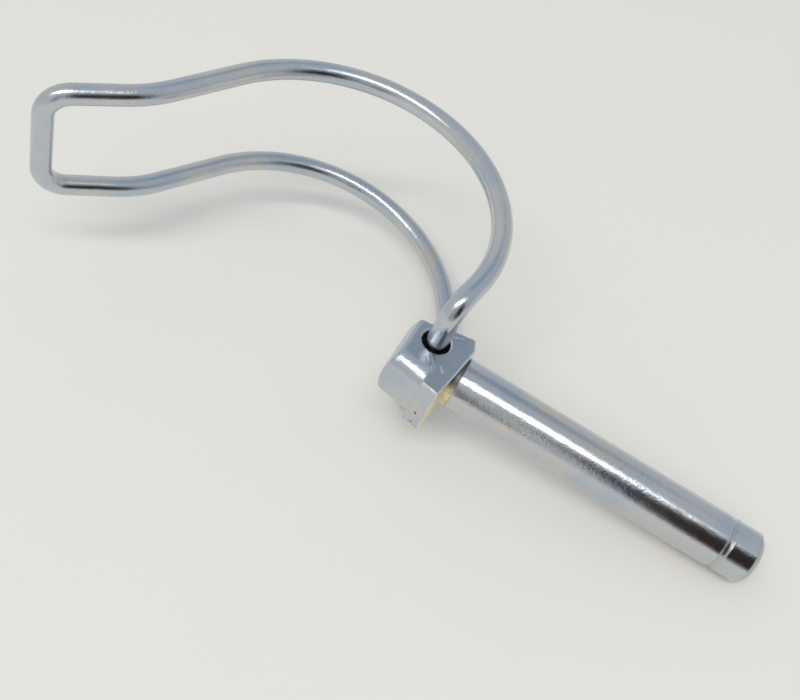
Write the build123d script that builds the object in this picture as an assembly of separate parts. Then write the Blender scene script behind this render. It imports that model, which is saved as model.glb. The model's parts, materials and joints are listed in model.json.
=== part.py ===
from build123d import *
from math import asin, atan2, cos, degrees, hypot, radians, sin, tan
import os

# All sizes are in millimetres and degrees.
# The parts are drawn with the shaft along X and the cross hole along Z.
# The origin is the middle of the shaft where it leaves the shoulder of the head.

# Sizes of the shaft
shaft_diameter = 10.0
shaft_length = 60.0
shaft_root = 3.0
tip_chamfer = 0.9
neck_depth = 0.2
groove_width = 1.1
groove_depth = 0.2
groove_from_tip = 6.0

# Sizes of the head
head_height = 11.5
nose_width = 11.4
side_angle = 10.0
nose_crown = 1.3
nose_to_hole = 4.3
hole_to_shoulder = 7.0
flange_length = 5.4
flange_lip = 0.25
head_set_forward = 1.85
shoulder_angle = 7.8
shoulder_clear = 0.15
back_bevel_width = 2.8
back_bevel_depth = 1.0
front_roll = 3.5
nose_round = 0.8
flange_edge = 0.25

# Sizes of the cross hole
hole_diameter = 5.2
hole_set_back = 0.8
hole_chamfer = 0.3

# Sizes of the wire bail
wire_diameter = 4.0
leg_spacing_at_head = 31.2
leg_spacing_at_end = 22.6
swing_angle = 81.0
first_run = 7.0
bow_radius = 31.5
bow_angle = 162.0
second_run = 14.2
reverse_radius = 25.0
reverse_angle = 21.0
last_run = 13.5
hole_bend_radius = 4.5
corner_radius = 5.0
wire_end_gap = 2.4

# Places that follow from the sizes
shaft_radius = shaft_diameter / 2
wire_radius = wire_diameter / 2
half_height = head_height / 2
half_spacing = leg_spacing_at_head / 2
hole_x = -hole_to_shoulder
nose_x = hole_x - nose_to_hole
crown_x = nose_x - nose_crown
flange_x = -flange_length
run_way = Vector(cos(radians(swing_angle)), sin(radians(swing_angle)), 0)
up_way = Vector(0, 0, 1)


def side_y(x, side, step):
    """Place of a flared side of the head, for side 1 at the back and -1 at the front."""
    half_width = nose_width / 2 + (x - nose_x) * tan(radians(side_angle)) + step
    return side * half_width - head_set_forward


def slab(points):
    """A flat outline raised to the full height of the head."""
    outline = make_face(Polyline(*points, close=True))
    return extrude(outline, half_height, both=True)


def shaft():
    """The round shaft with its neck, its ring groove and its chamfered tip."""
    neck_radius = shaft_radius - neck_depth
    groove_start = shaft_length - groove_from_tip - groove_width / 2
    groove_end = groove_start + groove_width
    groove_radius = shaft_radius - groove_depth
    profile = Polyline(
        (-shaft_root, 0),
        (-shaft_root, neck_radius),
        (0, neck_radius),
        (0, shaft_radius),
        (groove_start, shaft_radius),
        (groove_start + groove_depth, groove_radius),
        (groove_end - groove_depth, groove_radius),
        (groove_end, shaft_radius),
        (shaft_length - tip_chamfer, shaft_radius),
        (shaft_length, shaft_radius - tip_chamfer),
        (shaft_length, 0),
        close=True,
    )
    return revolve(make_face(profile), Axis.X)


def nose():
    """The rounded end of the head, crowned at its tip and broadly rolled at the front."""
    block = slab([
        (crown_x, side_y(crown_x, 1, 0)),
        (flange_x, side_y(flange_x, 1, 0)),
        (flange_x, side_y(flange_x, -1, 0)),
        (crown_x, side_y(crown_x, -1, 0)),
    ])
    crown = ThreePointArc((nose_x, -half_height), (crown_x, 0), (nose_x, half_height))
    flats = Polyline(crown @ 1, (flange_x, half_height), (flange_x, -half_height), crown @ 0)
    side_view = Plane.XZ * make_face([crown, flats])
    block &= extrude(side_view, nose_width, both=True)
    front_way = Vector(cos(radians(side_angle)), -sin(radians(side_angle)), 0)
    front_corner = Vector(nose_x, side_y(nose_x, -1, 0), 0)
    front = Plane(front_corner, x_dir=up_way.cross(front_way), z_dir=front_way)
    end_view = Pos(nose_width, 0) * RectangleRounded(2 * nose_width, head_height, front_roll)
    block &= extrude(front * end_view, nose_width, both=True)
    tip_rims = block.faces().sort_by(Axis.X).first.edges()
    back_rims = block.edges().filter_by(lambda rim: nose_x < rim.center().X < flange_x)
    back_rims = back_rims.filter_by(lambda rim: rim.center().Y > 0)
    return fillet(tip_rims + back_rims, nose_round)


def flange():
    """The sharper edged end of the head, with the sloped shoulder the shaft leaves."""
    slope = tan(radians(shoulder_angle))
    bevel_y = side_y(0, 1, flange_lip) - back_bevel_width
    front_x = (side_y(0, -1, flange_lip) - bevel_y) * slope - shoulder_clear
    bevel_x = -shoulder_clear - back_bevel_depth
    block = slab([
        (flange_x, side_y(flange_x, 1, flange_lip)),
        (bevel_x, side_y(bevel_x, 1, flange_lip)),
        (-shoulder_clear, bevel_y),
        (front_x, side_y(front_x, -1, flange_lip)),
        (flange_x, side_y(flange_x, -1, flange_lip)),
    ])
    rims = block.edges().filter_by(lambda rim: rim.center().X > flange_x + flange_edge)
    return chamfer(rims, flange_edge)


def cross_hole():
    """The hole for the two wire ends, opened a little at both faces."""
    hole_radius = hole_diameter / 2
    mouth_radius = hole_radius + hole_chamfer
    profile = Polyline(
        (0, -half_height),
        (mouth_radius, -half_height),
        (hole_radius, hole_chamfer - half_height),
        (hole_radius, half_height - hole_chamfer),
        (mouth_radius, half_height),
        (0, half_height),
        close=True,
    )
    turned = revolve(Plane.XZ * make_face(profile), Axis.Z)
    return Pos(hole_x, hole_set_back, 0) * turned


def pin():
    """The shaft and the head, which are one piece of steel."""
    return nose() + flange() + shaft() - cross_hole()


def upper_leg():
    """Middle line of the upper leg, from inside the hole to the start of the end bar."""
    flat_first = Line((hole_bend_radius, 0), (first_run, 0))
    flat_bow = JernArc(flat_first @ 1, flat_first % 1, bow_radius, bow_angle)
    flat_second = Line(flat_bow @ 1, flat_bow @ 1 + (flat_bow % 1) * second_run)
    flat_reverse = JernArc(flat_second @ 1, flat_second % 1, reverse_radius, -reverse_angle)
    flat_corner = flat_reverse @ 1 + (flat_reverse % 1) * last_run
    lean = atan2(half_spacing - leg_spacing_at_end / 2, flat_corner.Y)
    hinge_top = Vector(hole_x, hole_set_back, half_spacing)
    leg_normal = up_way * cos(lean) + up_way.cross(run_way) * sin(lean)
    leg_plane = Plane(hinge_top, x_dir=run_way, z_dir=leg_normal)
    runs = [leg_plane * run for run in (flat_first, flat_bow, flat_second, flat_reverse)]
    corner = leg_plane.from_local_coords(flat_corner)
    last_start = runs[-1] @ 1
    last_way = (corner - last_start).normalized()
    corner_turn = radians(last_way.get_angle(-up_way))
    corner_set_back = corner_radius * tan(corner_turn / 2)
    last = Line(last_start, corner - last_way * corner_set_back)
    end_bend = TangentArc(last @ 1, corner - up_way * corner_set_back, tangent=last_way)
    bend_start = hinge_top - up_way * hole_bend_radius
    wire_end = Vector(hole_x, hole_set_back, wire_end_gap / 2)
    stub = Line(wire_end, bend_start)
    hole_bend = TangentArc(bend_start, runs[0] @ 0, tangent=up_way)
    return [stub, hole_bend, *runs, last, end_bend]


def bail():
    """The bail, one round wire bent to a bow with a squared end."""
    upper = upper_leg()
    lower = [run.mirror(Plane.XY) for run in upper]
    end_bar = Line(upper[-1] @ 1, lower[-1] @ 1)
    path = Wire([*upper, end_bar, *lower])
    section = Plane(path @ 0, z_dir=path % 0) * Circle(wire_radius)
    return sweep(section, path)


def rest_tilt():
    """Angle at which the lower leg and the tip of the shaft touch one flat surface."""
    leg_drop = half_spacing - shaft_radius
    tip_reach = (shaft_length - tip_chamfer + hole_to_shoulder) * sin(radians(swing_angle))
    return degrees(atan2(leg_drop, tip_reach) + asin(wire_radius / hypot(leg_drop, tip_reach)))


def at_rest(piece):
    """A piece turned about the way of the first run, so that it lies as it comes to rest."""
    return piece.rotate(Axis((0, 0, 0), run_way), rest_tilt())


os.makedirs("parts", exist_ok=True)
for name, piece in {"pin": pin(), "bail": bail()}.items():
    export_step(at_rest(piece), f"parts/{name}.step")
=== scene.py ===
"""Dresses the lynch pin: bright zinc plate on the pin and its wire bail, on a pale floor.

Marks and patterns are placed in millimetres in the part's own frame: the shaft along X, the cross
hole along Z, and the origin where the shaft leaves the head.
"""
import json
import logging
import math
from dataclasses import dataclass
from enum import Enum
from functools import partial, reduce
from itertools import combinations

import bmesh
import bpy
from mathutils import Euler, Matrix, Vector


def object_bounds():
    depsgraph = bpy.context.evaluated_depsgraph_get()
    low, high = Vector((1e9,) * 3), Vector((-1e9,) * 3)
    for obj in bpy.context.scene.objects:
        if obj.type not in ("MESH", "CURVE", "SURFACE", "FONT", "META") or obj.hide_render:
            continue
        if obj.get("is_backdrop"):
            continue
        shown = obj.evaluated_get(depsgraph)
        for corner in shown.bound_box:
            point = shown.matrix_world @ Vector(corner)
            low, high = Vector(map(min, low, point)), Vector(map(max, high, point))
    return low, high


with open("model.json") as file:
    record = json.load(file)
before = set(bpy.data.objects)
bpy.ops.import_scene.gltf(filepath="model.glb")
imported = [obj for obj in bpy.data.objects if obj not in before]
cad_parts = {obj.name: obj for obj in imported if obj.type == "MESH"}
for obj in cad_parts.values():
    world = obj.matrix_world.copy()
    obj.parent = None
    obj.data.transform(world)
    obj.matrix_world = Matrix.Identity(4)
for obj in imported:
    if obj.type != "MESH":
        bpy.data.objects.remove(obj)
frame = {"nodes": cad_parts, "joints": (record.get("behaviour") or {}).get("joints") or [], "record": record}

log = logging.getLogger("lynch_pin")

MM = 0.001
SHAFT = frame["record"]["mounts"][0]
HINGE = frame["joints"][0]

Colour = tuple[float, float, float]
Place = tuple[float, float, float]
Span = tuple[float, float]
Socket = bpy.types.NodeSocket

WHOLE: Span = (0.0, 1.0)
EVEN: Place = (1.0, 1.0, 1.0)
ORIGIN: Place = (0.0, 0.0, 0.0)
UNTURNED: Place = (0.0, 0.0, 0.0)
ENDLESS = 1e6
BROAD_DETAIL = 1.0
SOFT_DETAIL = 2.0
FINE_DETAIL = 3.0


class Blend(Enum):
    """How one colour is laid over another."""

    MIX = "MIX"
    MULTIPLY = "MULTIPLY"


class Sum(Enum):
    """The sums that the finishes use to shape their masks."""

    ADD = "ADD"
    SUBTRACT = "SUBTRACT"
    MULTIPLY = "MULTIPLY"
    LEAST = "MINIMUM"
    MOST = "MAXIMUM"


class NodeBench:
    """Builds the nodes of one material, so that a finish reads as a list of steps."""

    def __init__(self, name: str, turn: Place = UNTURNED) -> None:
        """Starts an empty material that measures in millimetres.

        Args:
            name: The name of the material.
            turn: The turn from the part's frame to the frame that its patterns are laid out in.
        """
        self.material = bpy.data.materials.new(name)
        self.material.use_nodes = True
        self.tree = self.material.node_tree
        self.tree.nodes.clear()
        self.shader = self.tree.nodes.new("ShaderNodeBsdfPrincipled")
        output = self.tree.nodes.new("ShaderNodeOutputMaterial")
        self.link(self.shader.outputs["BSDF"], output.inputs["Surface"])
        spot = self.tree.nodes.new("ShaderNodeTexCoord").outputs["Object"]
        self.place = self.mapped(spot, (1 / MM, 1 / MM, 1 / MM), turn)

    def link(self, source: Socket, target: Socket) -> None:
        """Joins an output to an input."""
        self.tree.links.new(source, target)

    def feed(self, socket: Socket, value: object) -> None:
        """Links a socket to a socket, or sets it to a plain value.

        Args:
            socket: The input that is fed.
            value: An output, or a plain value.
        """
        if isinstance(value, Socket):
            self.link(value, socket)
        else:
            socket.default_value = value

    def mapped(self, vector: Socket, stretch: Place, turn: Place = UNTURNED) -> Socket:
        """Coordinates that are stretched along their axes and then turned.

        Args:
            vector: The coordinates that are read.
            stretch: How many times each axis is stretched.
            turn: The turn in radians about X, Y and Z.

        Returns:
            The vector output.
        """
        node = self.tree.nodes.new("ShaderNodeMapping")
        node.inputs["Rotation"].default_value = turn
        node.inputs["Scale"].default_value = stretch
        self.link(vector, node.inputs["Vector"])
        return node.outputs["Vector"]

    def noise(self, size: float, detail: float = FINE_DETAIL, stretch: Place = EVEN) -> Socket:
        """Soft noise with features of about a given size in millimetres.

        Args:
            size: The size of its features.
            detail: How many finer layers it has.
            stretch: How many times finer it is along each axis.

        Returns:
            The grey value output.
        """
        node = self.tree.nodes.new("ShaderNodeTexNoise")
        node.inputs["Scale"].default_value = 1 / size
        node.inputs["Detail"].default_value = detail
        vector = self.place if stretch == EVEN else self.mapped(self.place, stretch)
        self.link(vector, node.inputs["Vector"])
        return node.outputs["Fac"]

    def between(self, value: Socket, levels: Span, to: Span = WHOLE) -> Socket:
        """A smooth step of a value from one level to another.

        Args:
            value: The value that is read.
            levels: The levels that give the first and the second result, rising or falling.
            to: The two results.

        Returns:
            The grey value output.
        """
        node = self.tree.nodes.new("ShaderNodeMapRange")
        node.interpolation_type = "SMOOTHSTEP"
        (low, first), (high, second) = sorted(zip(levels, to))
        ends = {"From Min": low, "From Max": high, "To Min": first, "To Max": second}
        self.link(value, node.inputs["Value"])
        for name, level in ends.items():
            node.inputs[name].default_value = level
        return node.outputs["Result"]

    def sum(self, how: Sum, first: object, second: object) -> Socket:
        """One sum of two values.

        Args:
            how: The sum.
            first: The first value, a socket or a number.
            second: The second value, a socket or a number.

        Returns:
            The grey value output.
        """
        node = self.tree.nodes.new("ShaderNodeMath")
        node.operation = how.value
        self.feed(node.inputs[0], first)
        self.feed(node.inputs[1], second)
        return node.outputs["Value"]

    def all_of(self, *masks: Socket) -> Socket:
        """The mask that several masks share."""
        return reduce(partial(self.sum, Sum.MULTIPLY), masks)

    def any_of(self, *masks: Socket) -> Socket:
        """The strongest of several masks."""
        return reduce(partial(self.sum, Sum.MOST), masks)

    def size_of(self, value: Socket) -> Socket:
        """A value without its sign."""
        return self.sum(Sum.MOST, value, self.sum(Sum.MULTIPLY, value, -1.0))

    def lay(self, how: Blend, share: object, under: object, over: object) -> Socket:
        """Lays one colour over another.

        Args:
            how: How the colours are blended.
            share: How much of the second colour shows.
            under: The first colour, a socket or a plain colour.
            over: The second colour, a socket or a plain colour.

        Returns:
            The colour output.
        """
        node = self.tree.nodes.new("ShaderNodeMix")
        node.data_type = "RGBA"
        node.blend_type = how.value
        self.feed(node.inputs["Factor"], share)
        for name, colour in (("A", under), ("B", over)):
            self.feed(node.inputs[name], colour if isinstance(colour, Socket) else (*colour, 1.0))
        return node.outputs["Result"]

    def parts(self) -> list[Socket]:
        """The place along each axis, in millimetres.

        Returns:
            The outputs for X, Y and Z.
        """
        node = self.tree.nodes.new("ShaderNodeSeparateXYZ")
        self.link(self.place, node.inputs["Vector"])
        return [node.outputs[name] for name in "XYZ"]

    def reach(self, middle: Place, half: Place, turn: Place = UNTURNED) -> Socket:
        """Distance from a middle, as a share of a half size along each turned axis.

        Args:
            middle: The place it is measured from, in millimetres.
            half: The distance along each axis that counts as 1, in millimetres.
            turn: The turn of the axes in radians.

        Returns:
            The grey value output.
        """
        node = self.tree.nodes.new("ShaderNodeMapping")
        node.vector_type = "TEXTURE"
        for name, value in (("Location", middle), ("Rotation", turn), ("Scale", half)):
            node.inputs[name].default_value = value
        self.link(self.place, node.inputs["Vector"])
        span = self.tree.nodes.new("ShaderNodeVectorMath")
        span.operation = "LENGTH"
        self.link(node.outputs["Vector"], span.inputs[0])
        return span.outputs["Value"]

    def from_shaft(self) -> Socket:
        """Distance from the middle line of the shaft, in millimetres."""
        return self.reach(ORIGIN, (ENDLESS, 1.0, 1.0))

    def from_hole(self) -> Socket:
        """Distance from the middle line of the cross hole, in millimetres."""
        return self.reach(hole_place(), (1.0, 1.0, ENDLESS))

    def round_edges(self, radius: float) -> None:
        """Lets light roll over the edges as if they were rounded.

        Args:
            radius: The radius of the edges in millimetres.
        """
        node = self.tree.nodes.new("ShaderNodeBevel")
        node.inputs["Radius"].default_value = radius * MM
        self.link(node.outputs["Normal"], self.shader.inputs["Normal"])

    def bump(self, height: Socket, depth: float) -> None:
        """Gives the shader a bump, over the normal that it has already.

        Args:
            height: The height as a grey value.
            depth: The depth of the bump in millimetres.
        """
        node = self.tree.nodes.new("ShaderNodeBump")
        node.inputs["Strength"].default_value = 1.0
        node.inputs["Distance"].default_value = depth * MM
        self.link(height, node.inputs["Height"])
        normal = self.shader.inputs["Normal"]
        self.link(normal.links[0].from_socket, node.inputs["Normal"])
        self.link(node.outputs["Normal"], normal)


@dataclass(frozen=True)
class Mottle:
    """Soft noise that is read between two levels, as a mask."""

    size: float
    levels: Span
    to: Span = WHOLE
    detail: float = FINE_DETAIL

    def mask(self, bench: NodeBench) -> Socket:
        """The mask on a bench."""
        return bench.between(bench.noise(self.size, self.detail), self.levels, self.to)


@dataclass(frozen=True)
class Mark:
    """A small scuff or pit: an oval patch with a ragged rim."""

    middle: Place
    half: Place
    turn: float = 0.0
    rim: Span = (1.0, 0.6)

    def mask(self, bench: NodeBench, ragged: Socket) -> Socket:
        """The patch as a mask.

        Args:
            bench: The bench of the material.
            ragged: A value about zero that wears the rim away.

        Returns:
            The grey value output.
        """
        reach = bench.reach(self.middle, self.half, (0.0, 0.0, self.turn))
        return bench.between(bench.sum(Sum.ADD, reach, ragged), self.rim)


@dataclass(frozen=True)
class Layer:
    """A colour that a mask lays over the plate, and the roughness that it adds there."""

    colour: Colour
    rougher: float


@dataclass
class Surface:
    """A finish in the making: its bench, and its colour and roughness so far."""

    bench: NodeBench
    colour: Socket
    rough: Socket

    def tint(self, colour: Colour, share: Socket, how: Blend = Blend.MIX) -> None:
        """Lays a colour over the colour so far."""
        self.colour = self.bench.lay(how, share, self.colour, colour)

    def roughen(self, amount: Socket) -> None:
        """Adds an amount to the roughness so far."""
        self.rough = self.bench.sum(Sum.ADD, self.rough, amount)

    def cover(self, layer: Layer, share: Socket) -> None:
        """Lays a layer over the surface where a mask says."""
        self.tint(layer.colour, share)
        self.roughen(self.bench.sum(Sum.MULTIPLY, share, layer.rougher))

    def finish(self) -> bpy.types.Material:
        """Puts the colour and the roughness on the shader.

        Returns:
            The material.
        """
        self.bench.link(self.colour, self.bench.shader.inputs["Base Color"])
        self.bench.link(self.rough, self.bench.shader.inputs["Roughness"])
        return self.bench.material


@dataclass(frozen=True)
class ZincPlate:
    """Bright zinc plate on steel: cool grey metal with faint tints and a fine grain."""

    name: str
    polish: Span
    cool: Colour = (0.50, 0.565, 0.64)
    plain: Colour = (0.60, 0.615, 0.63)
    straw: Colour = (0.69, 0.63, 0.51)
    violet: Colour = (0.60, 0.57, 0.66)
    speck_shade: Colour = (0.76, 0.74, 0.71)
    plain_patches: Mottle = Mottle(14.0, (0.38, 0.60))
    straw_patches: Mottle = Mottle(8.4, (0.60, 0.76), (0.0, 0.5), SOFT_DETAIL)
    violet_patches: Mottle = Mottle(6.3, (0.40, 0.26), (0.0, 0.6), SOFT_DETAIL)
    specks: Mottle = Mottle(0.30, (0.60, 0.74), (0.0, 0.7))
    cloud_size: float = 3.38
    cloud_levels: Span = (0.30, 0.72)
    wave_size: float = 2.6
    wave_depth: float = 0.030
    grain_size: float = 0.25
    grain_depth: float = 0.038
    edge_round: float = 0.45

    def start(self, stretch: Place = EVEN) -> Surface:
        """Makes the plate's own colour, gloss and grain.

        Args:
            stretch: How many times finer the grain is along each axis.

        Returns:
            The surface that wear and marks are laid on.
        """
        bench = NodeBench(self.name, tuple(own_frame().to_euler("XYZ")))
        bench.shader.inputs["Metallic"].default_value = 1.0
        colour = bench.lay(Blend.MIX, self.plain_patches.mask(bench), self.cool, self.plain)
        gloss = Mottle(self.cloud_size, self.cloud_levels, self.polish)
        surface = Surface(bench, colour, gloss.mask(bench))
        surface.tint(self.straw, self.straw_patches.mask(bench))
        surface.tint(self.violet, self.violet_patches.mask(bench))
        surface.tint(self.speck_shade, self.specks.mask(bench), Blend.MULTIPLY)
        bench.round_edges(self.edge_round)
        bench.bump(bench.noise(self.wave_size, BROAD_DETAIL), self.wave_depth)
        bench.bump(bench.noise(self.grain_size, stretch=stretch), self.grain_depth)
        return surface


@dataclass
class Pin:
    """The pin: a round shaft and a block head, one piece of plated steel.

    A span of two places is where a mask starts and where it is full.
    """

    node: str = "pin"
    plate: ZincPlate = ZincPlate("plated_pin", polish=(0.06, 0.13))
    grain_stretch: Place = (0.7, 1.0, 1.0)

    # The solid's own sizes
    shaft_radius: float = SHAFT["dims"]["r_mm"]
    shaft_end: float = SHAFT["dims"]["length_mm"]
    groove_middle: float = 54.0
    half_height: float = 5.75
    head_forward: float = 1.85
    flange_start: float = -5.4
    flange_half_width: float = 7.94
    flare: float = 0.1763
    shoulder_slope: float = 0.137
    shoulder_set: float = 0.60

    # Gloss: streaks along the shaft, a satin nose and a matte cut on the chamfer of the tip
    on_shaft: Span = (0.0, 0.4)
    streak_size: float = 0.7
    streak_stretch: Place = (0.03, 1.0, 1.0)
    tinted_streaks: Span = (0.50, 0.72)
    streak_share: float = 0.35
    rougher_streaks: Span = (0.35, 0.70)
    streak_gloss: Span = (-0.03, 0.05)
    nose_blend: float = 0.3
    nose_satin: float = 0.10
    chamfer_blend: float = 0.15
    matte: Layer = Layer((0.50, 0.50, 0.50), 0.22)

    # Painted highlights, laid as bright worn metal, along the flange's edges and on the chamfer of the hole;
    # and the real scuffs beside the hole
    rubbed_and_highlight: Layer = Layer((0.80, 0.81, 0.81), 0.16)
    rim_wear_and_highlight: Span = (-0.50, -0.18)
    rim_share: float = 0.8
    rim_ragged: Mottle = Mottle(0.9, (0.3, 0.7), (-0.18, 0.10))
    rim_blend: float = 0.3
    clear_of_shaft: Span = (5.3, 5.8)
    mouth_outside: Span = (3.0, 2.9)
    mouth_inside: Span = (2.60, 2.66)
    scuff_ragged: Mottle = Mottle(0.35, (0.30, 0.70), (-0.55, 0.55))
    scuffs: tuple[Mark, ...] = (
        Mark((-6.7, -3.5, 5.75), (1.5, 0.26, 0.4), -0.94),
        Mark((-5.7, -3.6, 5.75), (1.7, 0.22, 0.4), -0.90),
        Mark((-5.3, -4.9, 5.75), (0.9, 0.20, 0.4), -1.00),
        Mark((-3.6, -4.3, 5.75), (0.9, 0.30, 0.4), -0.80),
        Mark((-4.3, 3.9, 5.75), (1.4, 0.18, 0.4), 0.50),
        Mark((-6.2, -3.4, -5.75), (1.6, 0.28, 0.4), 0.70),
    )

    # Painted shade in the hole, the neck under the shoulder and the ring groove, and darker pits
    recess_shade_and_dark_pits: Layer = Layer((0.16, 0.15, 0.14), 0.30)
    hole_wall: Span = (2.66, 2.61)
    hole_share: float = 0.5
    sunk: Span = (0.02, 0.16)
    neck_blend: float = 0.5
    neck_end: Span = (0.05, -0.05)
    groove_edge: Span = (0.8, 0.7)
    groove_share: float = 0.12
    pit_ragged: Mottle = Mottle(0.3, (0.30, 0.70), (-0.3, 0.3), SOFT_DETAIL)
    pits: tuple[Mark, ...] = (
        Mark((-3.76, -8.88, -2.16), (0.36, 0.5, 0.46)),
        Mark((-3.74, -8.88, -5.00), (0.42, 0.5, 0.36)),
        Mark((-2.2, 5.6, 1.8), (0.24, 0.5, 0.20)),
    )

    # The yellow film on the sheltered shoulder
    yellow: Layer = Layer((0.84, 0.75, 0.47), 0.35)
    film_skin: Span = (-0.24, -0.08)
    film_end: Span = (0.06, -0.04)
    film_front: Span = (4.0, -2.0)
    film_low: Span = (4.0, 1.5)
    film_patches: Mottle = Mottle(1.6, (0.30, 0.55), (0.6, 1.0))
    film_metallic: Span = (1.0, 0.25)

    def dress(self) -> None:
        """Puts the plate on the solid, with its wear and marks, painted highlights on the flange's edges and
        the hole's chamfer, and painted shade in its recesses.
        """
        surface = self.plate.start(self.grain_stretch)
        self.shine(surface)
        self.rub(surface)
        self.shade_recesses_and_pits(surface)
        self.film_shoulder(surface)
        set_material(frame["nodes"][self.node], surface.finish())

    def shine(self, surface: Surface) -> None:
        """Lays streaks along the shaft, a softer gloss on the nose and a matte cut on the tip.

        Args:
            surface: The surface so far.
        """
        bench = surface.bench
        along = bench.parts()[0]
        on_shaft = bench.between(along, self.on_shaft)
        streaks = bench.noise(self.streak_size, stretch=self.streak_stretch)
        tinted = bench.between(streaks, self.tinted_streaks, (0.0, self.streak_share))
        surface.tint(self.plate.violet, bench.all_of(on_shaft, tinted))
        rougher = bench.between(streaks, self.rougher_streaks, self.streak_gloss)
        surface.roughen(bench.all_of(on_shaft, rougher))
        nose = (self.flange_start, self.flange_start - self.nose_blend)
        surface.roughen(bench.between(along, nose, (0.0, self.nose_satin)))
        chamfer = (self.shaft_end - self.chamfer_blend, self.shaft_end)
        surface.cover(self.matte, bench.between(along, chamfer))

    def shoulder_reach(self, bench: NodeBench) -> Socket:
        """Distance in front of the sloped shoulder face, in millimetres.

        Args:
            bench: The bench of the material.

        Returns:
            The grey value output.
        """
        along, across, _ = bench.parts()
        slope = bench.sum(Sum.MULTIPLY, across, -self.shoulder_slope)
        return bench.sum(Sum.ADD, bench.sum(Sum.ADD, along, slope), self.shoulder_set)

    def rim_reach(self, bench: NodeBench) -> Socket:
        """Distance past the nearest rim of the flange, less than zero inside, in millimetres.

        Args:
            bench: The bench of the material.

        Returns:
            The grey value output.
        """
        along, across, height = bench.parts()
        top = bench.sum(Sum.SUBTRACT, bench.size_of(height), self.half_height)
        flared = bench.sum(Sum.MULTIPLY, along, self.flare)
        half_width = bench.sum(Sum.ADD, flared, self.flange_half_width)
        off_middle = bench.size_of(bench.sum(Sum.ADD, across, self.head_forward))
        side = bench.sum(Sum.SUBTRACT, off_middle, half_width)
        faces = (top, side, self.shoulder_reach(bench))
        return bench.any_of(*(bench.sum(Sum.LEAST, *pair) for pair in combinations(faces, 2)))

    def rub(self, surface: Surface) -> None:
        """Paints highlights as bright worn metal along the flange's edges and on the chamfer of the hole,
        and draws the scuffs.

        Args:
            surface: The surface so far.
        """
        bench = surface.bench
        along = bench.parts()[0]
        rim = bench.sum(Sum.ADD, self.rim_reach(bench), self.rim_ragged.mask(bench))
        # Painted highlight along the flange's edges, laid as bright worn metal
        rim_highlights = bench.all_of(
            bench.between(rim, self.rim_wear_and_highlight, (0.0, self.rim_share)),
            bench.between(along, (self.flange_start, self.flange_start + self.rim_blend)),
            bench.between(bench.from_shaft(), self.clear_of_shaft),
        )
        # Painted highlight on the chamfer at the hole's edge
        hole = bench.from_hole()
        within = bench.between(hole, self.mouth_outside)
        mouth_highlight = bench.all_of(within, bench.between(hole, self.mouth_inside))
        # Real scuffs beside the hole
        ragged = self.scuff_ragged.mask(bench)
        scuffs = [scuff.mask(bench, ragged) for scuff in self.scuffs]
        # One bright layer: painted highlight on the edges and the chamfer, real wear in the scuffs
        surface.cover(self.rubbed_and_highlight, bench.any_of(rim_highlights, mouth_highlight, *scuffs))

    def shade_recesses_and_pits(self, surface: Surface) -> None:
        """Paints shade into the hole, the neck under the shoulder and the ring groove, and darkens the pits.

        Args:
            surface: The surface so far.
        """
        bench = surface.bench
        along = bench.parts()[0]
        # Painted shade inside the hole
        hole = bench.between(bench.from_hole(), self.hole_wall, (0.0, self.hole_share))
        sunk_levels = tuple(self.shaft_radius - depth for depth in self.sunk)
        sunk = bench.between(bench.from_shaft(), sunk_levels)
        behind = bench.between(along, (self.flange_start, self.flange_start + self.neck_blend))
        # Painted shade in the neck under the shoulder
        neck = bench.all_of(sunk, behind, bench.between(along, self.neck_end))
        # Painted shade in the ring groove
        from_groove = bench.size_of(bench.sum(Sum.SUBTRACT, along, self.groove_middle))
        in_groove = bench.between(from_groove, self.groove_edge, (0.0, self.groove_share))
        groove = bench.all_of(sunk, in_groove)
        ragged = self.pit_ragged.mask(bench)
        pits = [pit.mask(bench, ragged) for pit in self.pits]
        # One dark layer: painted shade in the hole, the neck and the groove, and the darkened pits
        surface.cover(self.recess_shade_and_dark_pits, bench.any_of(hole, neck, groove, *pits))

    def film_shoulder(self, surface: Surface) -> None:
        """Lays a yellow film on the shoulder and the neck, where they are sheltered.

        Args:
            surface: The surface so far.
        """
        bench = surface.bench
        along, across, height = bench.parts()
        film = bench.all_of(
            bench.between(self.shoulder_reach(bench), self.film_skin),
            bench.between(along, self.film_end),
            bench.between(across, self.film_front),
            bench.between(height, self.film_low),
            self.film_patches.mask(bench),
        )
        bench.link(bench.between(film, WHOLE, self.film_metallic), bench.shader.inputs["Metallic"])
        surface.cover(self.yellow, film)


@dataclass
class Bail:
    """The bail: one round wire, bent to a bow with a squared end."""

    node: str = "bail"
    plate: ZincPlate = ZincPlate("plated_wire", polish=(0.07, 0.14))
    by_stub: Span = (2.5, 2.1)
    by_mouth: Span = (8.2, 5.6)
    rub_patches: Mottle = Mottle(0.45, (0.38, 0.62))
    dull: Layer = Layer((0.50, 0.49, 0.48), 0.20)

    def dress(self) -> None:
        """Puts the plate on the solid, rubbed dull where the wire turns in its hole."""
        surface = self.plate.start()
        bench = surface.bench
        rub = bench.all_of(
            bench.between(bench.from_hole(), self.by_stub),
            bench.between(bench.size_of(bench.parts()[2]), self.by_mouth),
            self.rub_patches.mask(bench),
        )
        surface.cover(self.dull, rub)
        set_material(frame["nodes"][self.node], surface.finish())


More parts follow.
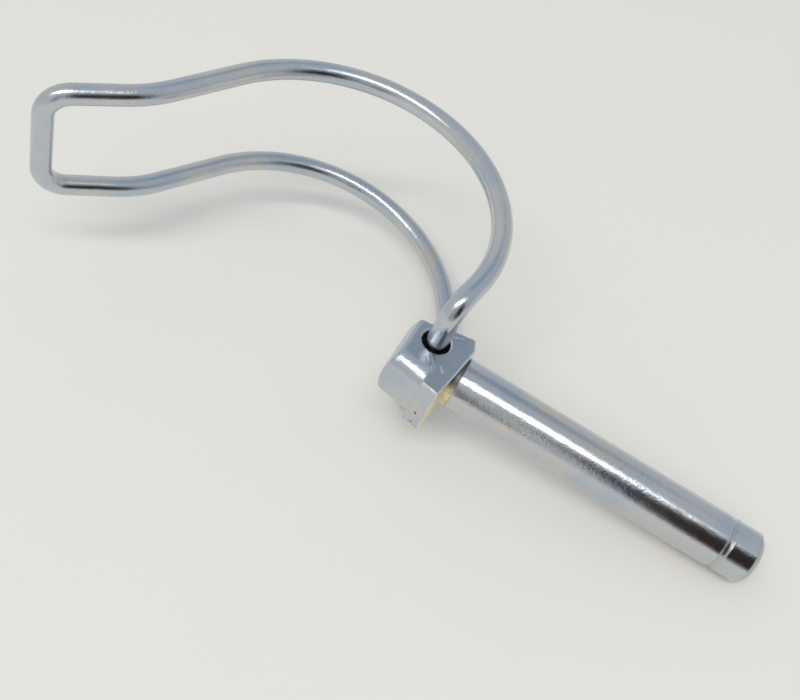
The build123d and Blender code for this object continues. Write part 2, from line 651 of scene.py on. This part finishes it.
@dataclass(frozen=True)
class Softbox:
    """A large soft lamp that hangs over the part, with its turn in degrees."""

    name: str
    middle: Place
    width: float
    depth: float
    turn: Place
    power: float
    colour: Colour
    mirrored: bool

    def hang(self) -> None:
        """Hangs the lamp at its place."""
        lamp = bpy.data.lights.new(self.name, "AREA")
        lamp.shape = "RECTANGLE"
        lamp.size, lamp.size_y = self.width, self.depth
        lamp.energy = self.power
        lamp.color = self.colour
        lamp_object = bpy.data.objects.new(self.name, lamp)
        lamp_object.location = self.middle
        lamp_object.rotation_euler = [math.radians(angle) for angle in self.turn]
        lamp_object.visible_glossy = self.mirrored
        bpy.context.scene.collection.objects.link(lamp_object)


@dataclass(frozen=True)
class Paint:
    """Dull paint on the floor and the cards, in two near shades of one colour."""

    name: str
    colour: Colour
    shades: Span
    patch_size: float
    rough: float
    specular: float = 0.5

    def put_on(self, piece: bpy.types.Object) -> None:
        """Paints a piece.

        Args:
            piece: The piece.
        """
        bench = NodeBench(self.name)
        patches = bench.noise(self.patch_size, SOFT_DETAIL)
        first, second = [[shade * part for part in self.colour] for shade in self.shades]
        paint = bench.lay(Blend.MIX, patches, first, second)
        bench.link(paint, bench.shader.inputs["Base Color"])
        bench.shader.inputs["Roughness"].default_value = self.rough
        bench.shader.inputs["Specular IOR Level"].default_value = self.specular
        set_material(piece, bench.material)


@dataclass(frozen=True)
class Card:
    """An upright card that the bright metal reflects, out of the camera's own sight.

    Its azimuth and the rise of its top are in degrees, at its first and its second end.
    """

    name: str
    azimuth: Span
    rise: Span
    distance: float
    colour: Colour
    shades: Span = (1.0, 1.3)
    patch_size: float = 30.0
    rough: float = 0.9

    def stand(self, floor_level: float) -> None:
        """Stands the card on the floor, across its span of azimuth.

        Args:
            floor_level: The height of the floor.
        """
        feet = [direction(turn, 0.0) * self.distance for turn in self.azimuth]
        tops = []
        for foot, rise in zip(feet, self.rise):
            tops.append(Vector((foot.x, foot.y, self.distance * math.tan(math.radians(rise)))))
            foot.z = floor_level
        shape = bmesh.new()
        outline = [shape.verts.new(corner) for corner in (*feet, *reversed(tops))]
        bmesh.ops.contextual_create(shape, geom=outline)
        card = new_object(self.name, shape)
        Paint(self.name, self.colour, self.shades, self.patch_size, self.rough).put_on(card)
        card.visible_camera = card.visible_diffuse = card.visible_shadow = False
        card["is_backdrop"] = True


@dataclass
class Studio:
    """The pale floor, the soft light and the camera."""

    floor_side: float = 4.0
    floor_paint: Paint = Paint("pale_floor", (0.80, 0.778, 0.732), shades=(0.985, 1.0),
                               patch_size=40.0, rough=0.75, specular=0.2)
    pale_side: Colour = (0.66, 0.665, 0.66)
    cool_side: Colour = (0.55, 0.59, 0.62)
    across_room: Span = (-0.6, 0.7)
    overhead: Colour = (0.56, 0.595, 0.625)
    up_room: Span = (0.55, 0.95)
    back_patch: Colour = (0.35, 0.41, 0.47)
    back_way: Span = (75.0, 52.0)
    patch_edge: Span = (0.955, 0.988)
    camera_place: Place = (0.022401, -0.120629, 0.134612)
    camera_turn: Place = (0.74435, -0.148003, 0.434984)
    lens: float = 45.845
    sensor_width: float = 36.0
    nearest: float = 0.005
    lamps: tuple[Softbox, ...] = (
        Softbox("strip_light", (-0.16, -1.32, 2.4), width=2.6, depth=0.37, turn=(0.0, 0.0, 26.0),
                power=19.5, colour=(1.0, 0.99, 0.97), mirrored=True),
        Softbox("fill_light", (-0.05, -1.41, 1.69), width=1.2, depth=1.2, turn=(40.0, 0.0, 0.0),
                power=14.2, colour=(1.0, 0.985, 0.96), mirrored=False),
    )
    cards: tuple[Card, ...] = (
        Card("dark_card", (-68.0, -26.0), (38.0, 50.0), 0.24, (0.035, 0.022, 0.018)),
        Card("left_card", (-94.0, -84.0), (34.0, 34.0), 0.30, (0.035, 0.022, 0.018)),
        Card("grey_card", (-27.0, 6.0), (22.0, 14.0), 0.60, (0.50, 0.51, 0.52)),
    )

    def build(self, floor_level: float) -> None:
        """Lays the floor under the part, lights it and sets the camera.

        Args:
            floor_level: The height of the lowest point of the part.
        """
        self.lay_floor(floor_level)
        self.light_room()
        for lamp in self.lamps:
            lamp.hang()
            log.info("hung %s", lamp.name)
        for card in self.cards:
            card.stand(floor_level)
            log.info("stood %s", card.name)
        self.set_camera()

    def lay_floor(self, level: float) -> None:
        """Lays the plain pale floor at a level.

        Args:
            level: The height of the floor.
        """
        shape = bmesh.new()
        bmesh.ops.create_grid(shape, x_segments=1, y_segments=1, size=self.floor_side / 2)
        bmesh.ops.translate(shape, verts=shape.verts, vec=(0.0, 0.0, level))
        floor = new_object("floor", shape)
        self.floor_paint.put_on(floor)
        floor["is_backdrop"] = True

    def light_room(self) -> None:
        """Gives the room its even light: paler on one side, greyer overhead and at the back."""
        world = bpy.data.worlds.new("pale_room")
        world.use_nodes = True
        tree = world.node_tree
        view = tree.nodes.new("ShaderNodeTexCoord").outputs["Generated"]
        way = tree.nodes.new("ShaderNodeSeparateXYZ")
        tree.links.new(view, way.inputs["Vector"])
        towards = tree.nodes.new("ShaderNodeVectorMath")
        towards.operation = "DOT_PRODUCT"
        towards.inputs[1].default_value = direction(*self.back_way)
        tree.links.new(view, towards.inputs[0])
        room = self.pale_side
        for part, span, colour in (
            (way.outputs["X"], self.across_room, self.cool_side),
            (way.outputs["Z"], self.up_room, self.overhead),
            (towards.outputs["Value"], self.patch_edge, self.back_patch),
        ):
            room = self.room_step(tree, part, span, room, colour)
        tree.links.new(room, tree.nodes["Background"].inputs["Color"])
        bpy.context.scene.world = world

    @staticmethod
    def room_step(
        tree: bpy.types.NodeTree, way: Socket, span: Span, first: object, second: Colour
    ) -> Socket:
        """A soft change of the room's colour along one direction.

        Args:
            tree: The node tree of the room.
            way: The part of the direction that is read.
            span: Where the change starts and ends.
            first: The colour before the change, as a socket or a plain colour.
            second: The colour after the change.

        Returns:
            The colour output.
        """
        step = tree.nodes.new("ShaderNodeMapRange")
        step.interpolation_type = "SMOOTHSTEP"
        step.inputs["From Min"].default_value, step.inputs["From Max"].default_value = span
        tree.links.new(way, step.inputs["Value"])
        mix = tree.nodes.new("ShaderNodeMix")
        mix.data_type = "RGBA"
        tree.links.new(step.outputs["Result"], mix.inputs["Factor"])
        if isinstance(first, Socket):
            tree.links.new(first, mix.inputs["A"])
        else:
            mix.inputs["A"].default_value = (*first, 1.0)
        mix.inputs["B"].default_value = (*second, 1.0)
        return mix.outputs["Result"]

    def set_camera(self) -> None:
        """Sets the camera at the photograph's place and lens."""
        camera = bpy.data.cameras.new("camera")
        camera.sensor_fit = "HORIZONTAL"
        camera.sensor_width = self.sensor_width
        camera.lens = self.lens
        camera.clip_start = self.nearest
        camera_object = bpy.data.objects.new("camera", camera)
        camera_object.location = self.camera_place
        camera_object.rotation_euler = Euler(self.camera_turn, "XYZ")
        bpy.context.scene.collection.objects.link(camera_object)
        bpy.context.scene.camera = camera_object


def own_frame() -> Matrix:
    """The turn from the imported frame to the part's own frame.

    Returns:
        A matrix that brings the shaft along X and the cross hole along Z.
    """
    along = Vector(SHAFT["axis"]).normalized()
    up = Vector(HINGE["axis"]).normalized()
    return Matrix((along, up.cross(along), up))


def hole_place() -> Place:
    """The middle of the cross hole in the part's own frame, in millimetres."""
    return tuple(own_frame() @ Vector(HINGE["pos_m"]) / MM)


def direction(azimuth: float, elevation: float) -> Vector:
    """The direction at an azimuth and an elevation.

    Args:
        azimuth: The angle from +X towards +Y, in degrees.
        elevation: The angle above the level, in degrees.

    Returns:
        A unit vector.
    """
    turn, rise = math.radians(azimuth), math.radians(elevation)
    level = math.cos(rise)
    return Vector((math.cos(turn) * level, math.sin(turn) * level, math.sin(rise)))


def new_object(name: str, shape: bmesh.types.BMesh) -> bpy.types.Object:
    """Turns a bmesh into an object in the scene.

    Args:
        name: The name of the object and its mesh.
        shape: The bmesh, which is freed.

    Returns:
        The object.
    """
    mesh = bpy.data.meshes.new(name)
    shape.to_mesh(mesh)
    shape.free()
    piece = bpy.data.objects.new(name, mesh)
    bpy.context.scene.collection.objects.link(piece)
    return piece


def set_material(piece: bpy.types.Object, material: bpy.types.Material) -> None:
    """Puts one material on every face of a piece.

    Args:
        piece: The piece.
        material: The material.
    """
    if not piece.material_slots:
        piece.data.materials.append(material)
    for place in piece.material_slots:
        place.material = material


def corners() -> list[list[float]]:
    """The lowest and highest corner of the shown part, as plain lists."""
    return [[float(part) for part in corner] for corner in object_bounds()]


def main() -> None:
    """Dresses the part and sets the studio."""
    logging.basicConfig(level=logging.INFO, format="%(name)s: %(message)s")
    bpy.context.scene.view_settings.view_transform = "Standard"
    cad_box = corners()
    for piece in (Pin(), Bail()):
        piece.dress()
        log.info("dressed %s", piece.node)
    Studio().build(cad_box[0][2])
    log.info("set the studio")


if __name__ == "__main__":
    main()
